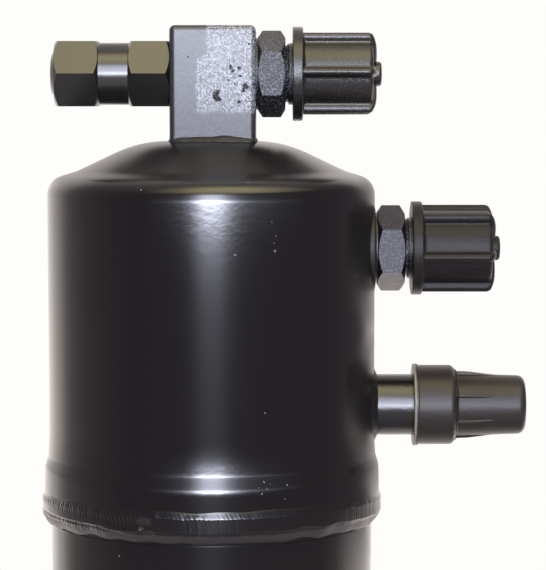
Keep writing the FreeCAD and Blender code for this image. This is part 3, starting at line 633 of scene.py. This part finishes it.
def service_bead():
    """The cone of weld where the service stub enters the shell, hollowed like a fillet."""
    angle = np.linspace(0, 2 * np.pi, 360, endpoint=False)[None, :]
    t = np.linspace(0, 1, 24)[:, None]
    reach = 12.2 - 3.3 * t ** 0.72 + 0.08 * waves(angle, 41, 3, 24, 5)
    y = -reach * np.cos(angle)
    surface = np.sqrt(np.maximum(47.6 ** 2 - y ** 2, 0))
    x = surface - 0.25 + (48.5 - surface + 0.25) * t ** 1.1
    z = SERVICE_Z + reach * np.sin(angle)
    points = np.stack([x, y, z], axis=-1)
    back = points[[-1, 0]].copy()
    back[:, :, 0] = 44.5
    points = np.concatenate([points, back]) * MM
    obj = grid_mesh("service_bead", points, dull_weld)
    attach(obj, "vessel")
    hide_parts("service_port_weld")
    return obj


def drawn_shell():
    """The upper shell's outside, turned from the CAD's own outline, with finer bends at the joggle."""
    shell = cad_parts["upper_shell"]
    outline = []
    for r in np.linspace(0.0, 24.0, 40):
        hit, at, *_ = shell.ray_cast(Vector((0.0005, -r, 300.0)) * MM, Vector((0, 0, -1)))
        outline.append((r, at.z / MM))
    top_z = outline[-1][1]
    for z in np.arange(top_z - 0.25, 139.0, -0.3):
        hit, at, *_ = shell.ray_cast(Vector((0.0005, -80.0, z)) * MM, Vector((0, 1, 0)))
        outline.append((-at.y / MM, z))
    outline = np.array(outline)
    soft = outline.copy()
    for _ in range(3):
        soft[1:-1] = 0.25 * soft[:-2] + 0.5 * soft[1:-1] + 0.25 * soft[2:]
    # the wall's slope in degrees at each height, down over the joggle
    joggle = [
        (138.5, 0.0), (135.5, 1.6), (134.0, 2.3), (131.9, 2.9), (129.9, 3.2), (129.0, 3.8), (128.4, 12),
        (127.9, 17.5), (126.2, 17.5), (125.7, 10), (125.2, 4.2), (124.6, 3.6), (124.0, 2.8),
        (123.2, 1.3), (121.0, 1.1),
    ]
    heights, tilts = np.array(joggle[::-1]).T
    z = np.arange(138.7, 116.0, -0.1)
    slope = np.tan(np.radians(np.interp(z, heights, tilts)))
    r = soft[-1, 0] + np.cumsum(slope) * 0.1
    outline = np.vstack([soft, np.stack([r, z], axis=-1)])
    angle = np.linspace(0, 2 * np.pi, 720, endpoint=False)[None, :]
    radius = outline[:, 0][:, None]
    points = np.stack([
        radius * np.cos(angle), radius * np.sin(angle), outline[:, 1][:, None] + 0 * angle,
    ], axis=-1) * MM
    obj = grid_mesh("drawn_shell", points, black_paint, around=False)
    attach(obj, "vessel")
    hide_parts("upper_shell")
    return obj


def service_cap():
    """Charging-port cap: lip, barrel and a tapered nose with six low fins whose edges are soft."""
    start = 58.9
    nose = start + 11.5 + 1.3
    end = 91.68
    bore, barrel, lip = 8.1, 11.6, 11.98
    outer = [
        (start, 9.2), (start, lip), (start + 1.4, lip), (start + 1.45, barrel), (start + 11.5, barrel),
        (nose, 9.15), (end, 8.5), (end, 0.0),
    ]
    shape = finer(rounded(outer, (0.3, 0.35, 0.1, 1.5, 0.5, 2.2)), 0.3)
    inner = finer(np.array([(start + 12.5, 0.0), (start + 12.5, bore), (start, bore), (start, 9.2)]), 2.0)
    profile = np.vstack([inner[:-1], shape])
    first = len(inner) - 1

    def with_fins(x, r, angle):
        spacing = np.pi / 3
        off = (angle - np.radians(28.0) + spacing / 2) % spacing - spacing / 2
        reach = np.abs(off) * 9.3
        lift = 1 - smoothstep(reach, 1.22, 1.42)
        height = 0.72 * (1 - smoothstep(x, nose + 2.0, nose + 12.2)) * smoothstep(x, nose - 0.9, nose - 0.2)
        height[:first] = 0
        return x, r + lift * height

    obj = turned_about_x("service_cap_finned", profile, SERVICE_Z, service_plastic, with_fins)
    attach(obj, "service_cap")
    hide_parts("service_cap")


def turned_fitting():
    """The outlet fitting, turned about its own axis until its flats stand as they do in the photo."""
    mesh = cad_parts["outlet_fitting"].data.copy()
    middle = Vector((0, 0, OUTLET_Z * MM))
    turned = Matrix.Rotation(math.radians(5.7), 4, "X")
    turn = Matrix.Translation(middle) @ turned @ Matrix.Translation(-middle)
    mesh.transform(turn)
    mesh.materials.clear()
    mesh.materials.append(outlet_paint)
    obj = bpy.data.objects.new("outlet_fitting_turned", mesh)
    bpy.context.scene.collection.objects.link(obj)
    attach(obj, "vessel")
    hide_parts("outlet_fitting")


block_bead()
service_bead()
service_cap()
turned_fitting()
drawn_shell()
for side, z, start, end in (("inlet", INLET_Z, 21.75, 24.6), ("outlet", OUTLET_Z, 56.35, 59.6)):
    thread(side + "_thread", start, end, z, 8.98, 8.2, 1.5, fitting_paint, "vessel")

# Below about 113 mm the bead's lower toe is paler in colour and rougher
level = axes(weld_paint)["Z"]
unevenness = maths(weld_paint, "MULTIPLY", noise(weld_paint, 500, 3), 0.0012)
paler_toe = stepped(weld_paint, maths(weld_paint, "ADD", level, unevenness), 0.1128, 0.1140, 1.0, 0.0)
drive(weld_paint, "Base Color", mixed(weld_paint, paler_toe, (0.004, 0.0034, 0.004), (0.016, 0.0135, 0.0145)))
drive(weld_paint, "Roughness", stepped(weld_paint, paler_toe, 0.0, 1.0, 0.13, 0.45))
bump(weld_paint, noise(weld_paint, 1500, 3, 0.6), 0.16, 0.0001)


# Stage

BACKDROP = (0.99, 0.985, 0.97)

floor_mat = new_material("stage_floor", (0.82, 0.82, 0.81), 0.9, specular=0.1)
bpy.ops.mesh.primitive_plane_add(size=6, location=(0, 0, -0.0005))
floor = bpy.context.object
floor.name = "stage_floor"
floor.data.materials.append(floor_mat)
floor.visible_glossy = False


def fade_floor(mat, near, far):
    """Away from the part the floor goes over into the white of the backdrop."""
    distance = node(mat, "ShaderNodeVectorMath", operation="LENGTH")
    link(mat, place(mat), distance.inputs[0])
    fade = node(mat, "ShaderNodeMapRange", interpolation_type="SMOOTHSTEP")
    fade.inputs["From Min"].default_value = near
    fade.inputs["From Max"].default_value = far
    link(mat, distance.outputs["Value"], fade.inputs["Value"])
    glow = node(mat, "ShaderNodeEmission")
    glow.inputs["Color"].default_value = (*BACKDROP, 1)
    blend = node(mat, "ShaderNodeMixShader")
    link(mat, fade.outputs["Result"], blend.inputs["Fac"])
    link(mat, mat.node_tree.nodes["Principled BSDF"].outputs[0], blend.inputs[1])
    link(mat, glow.outputs[0], blend.inputs[2])
    link(mat, blend.outputs[0], mat.node_tree.nodes["Material Output"].inputs["Surface"])


fade_floor(floor_mat, 0.12, 0.42)


# Light: the room is described by direction, seen from the part

world = bpy.data.worlds.new("room")
bpy.context.scene.world = world
world.use_nodes = True
tree = world.node_tree
tree.nodes.clear()
room = tree.nodes.new("ShaderNodeTexCoord")
split = tree.nodes.new("ShaderNodeSeparateXYZ")
tree.links.new(room.outputs["Generated"], split.inputs[0])


def math_node(operation, *values):
    made = tree.nodes.new("ShaderNodeMath")
    made.operation = operation
    for i, value in enumerate(values):
        if isinstance(value, (int, float)):
            made.inputs[i].default_value = value
        else:
            tree.links.new(value, made.inputs[i])
    return made.outputs[0]


def degrees_ramp(angle, stops, peak=1.0):
    """Levels between stops given in degrees; peak scales them all."""
    made = tree.nodes.new("ShaderNodeValToRGB")
    made.color_ramp.interpolation = "LINEAR"
    elements = made.color_ramp.elements
    while len(elements) < len(stops):
        elements.new(0.5)
    for element, (degrees, level) in zip(elements, stops):
        element.position = degrees / 360 + 0.5
        element.color = (level, level, level, 1)
    tree.links.new(math_node("ADD", math_node("DIVIDE", angle, 2 * math.pi), 0.5), made.inputs[0])
    return math_node("MULTIPLY", made.outputs[0], peak)


def tinted(level, colour):
    made = tree.nodes.new("ShaderNodeVectorMath")
    made.operation = "SCALE"
    made.inputs[0].default_value = colour
    tree.links.new(level, made.inputs["Scale"])
    return made.outputs[0]


def together(*colours):
    total = colours[0]
    for colour in colours[1:]:
        made = tree.nodes.new("ShaderNodeVectorMath")
        made.operation = "ADD"
        tree.links.new(total, made.inputs[0])
        tree.links.new(colour, made.inputs[1])
        total = made.outputs[0]
    return total

WINDOW_LEVEL = 70.0
CEILING_LEVEL = 4.2
AMBIENT = math_node("ADD", 0.24, 0.0)

# Azimuth 0 is the camera's side and grows to the right; elevation is above the horizon
azimuth = math_node("ARCTAN2", split.outputs["X"], math_node("MULTIPLY", split.outputs["Y"], -1.0))
elevation = math_node("ARCSINE", split.outputs["Z"])

window_across = degrees_ramp(azimuth, [
    (-44, 0.0), (-31, 0.01), (-25, 0.025), (-18.5, 0.06), (-13.5, 0.16), (-8.8, 0.44), (-4.8, 0.82), (-1, 1.0),
    (4, 1.0), (7.5, 0.86), (10, 0.64), (12.5, 0.44), (16, 0.26), (21, 0.12), (28, 0.055), (35, 0.03),
    (50, 0.01), (70, 0.0),
])
window_up = degrees_ramp(elevation, [
    (-14, 0.0045), (-7.3, 0.0075), (-6.1, 0.0095), (-4.8, 0.0120), (-4.1, 0.0125), (-3.6, 0.0135),
    (-3.2, 0.0165), (-2.9, 0.026), (-2.6, 0.065), (-2.35, 0.26), (-2.1, 0.80), (-1.8, 1.0), (0, 0.85), (3, 0.42),
    (7, 0.25), (16, 0.22), (28, 0.19), (34, 0.05), (42, 0.0),
])
window = math_node("MULTIPLY", window_across, math_node("MULTIPLY", window_up, WINDOW_LEVEL))

ceiling_across = degrees_ramp(azimuth, [
    (-56, 0.0), (-30, 0.40), (-14, 0.8), (0, 1.0), (40, 0.95), (60, 0.6), (80, 0.3), (100, 0.0),
])
ceiling_up = degrees_ramp(elevation, [(34, 0.0), (42, 0.7), (52, 1.0), (68, 1.0), (80, 0.4), (90, 0.2)])
ceiling = math_node("MULTIPLY", ceiling_across, math_node("MULTIPLY", ceiling_up, CEILING_LEVEL))

left_wall = degrees_ramp(azimuth, [
    (-180, 0.72), (-160, 0.8), (-146, 0.93), (-130, 0.75), (-120, 0.40), (-113, 0.26), (-96, 0.13), (-77, 0.06),
    (-60, 0.0),
], 1.6)
right_wall = degrees_ramp(azimuth, [
    (112, 0.0), (124, 0.02), (131, 0.06), (139, 0.28), (146, 0.6), (162, 0.7), (180, 0.75),
], 1.6)
right_low = degrees_ramp(azimuth, [(85, 0.0), (100, 0.2), (114, 0.8), (125, 1.0), (180, 1.0)], 1.6)
below = degrees_ramp(elevation, [(-40, 0.0), (-28, 1.0), (-11.6, 1.0), (-10.2, 0.0)])
not_above = degrees_ramp(elevation, [(33, 1.0), (46, 0.32), (80, 0.28), (90, 0.26)])
dimmer_high = degrees_ramp(elevation, [(-7, 1.0), (-2, 0.78), (20, 0.78)])
walls = math_node(
    "ADD",
    math_node("MULTIPLY", left_wall, dimmer_high),
    math_node("MAXIMUM", right_wall, math_node("MULTIPLY", right_low, below)),
)
walls = math_node("MULTIPLY", walls, not_above)
overhead = degrees_ramp(elevation, [(30, 0.0), (60, 0.45), (90, 0.5)])
ground = degrees_ramp(elevation, [(-90, 0.1), (-60, 0.12), (-35, 0.4), (-20, 0.5), (-14, 0.2), (-11, 0.0)])

room_light = together(
    tinted(window, (0.88, 0.92, 1.10)),
    tinted(ceiling, (1.10, 0.96, 0.52)),
    tinted(walls, (1.03, 0.95, 0.88)),
    tinted(overhead, (0.95, 0.84, 0.74)),
    tinted(ground, (1.0, 0.86, 0.86)),
    tinted(AMBIENT, (1.0, 0.94, 1.0)),
)
seen = tree.nodes.new("ShaderNodeLightPath")
behind = tree.nodes.new("ShaderNodeMix")
behind.data_type = "RGBA"
behind.inputs["B"].default_value = (*BACKDROP, 1)
tree.links.new(seen.outputs["Is Camera Ray"], behind.inputs["Factor"])
tree.links.new(room_light, behind.inputs["A"])
sky = tree.nodes.new("ShaderNodeBackground")
tree.links.new(behind.outputs["Result"], sky.inputs["Color"])
out = tree.nodes.new("ShaderNodeOutputWorld")
tree.links.new(sky.outputs[0], out.inputs["Surface"])


# Camera

camera_data = bpy.data.cameras.new("camera")
camera_data.sensor_width = 36
camera_data.lens = FOCAL * camera_data.sensor_width / PHOTO_HEIGHT
camera_data.clip_end = 20
camera = bpy.data.objects.new("camera", camera_data)
camera.location = CAMERA_AT
camera.rotation_euler = (math.radians(90 - PITCH), 0, 0)
bpy.context.scene.collection.objects.link(camera)
bpy.context.scene.camera = camera
bpy.context.scene.view_settings.view_transform = "Standard"
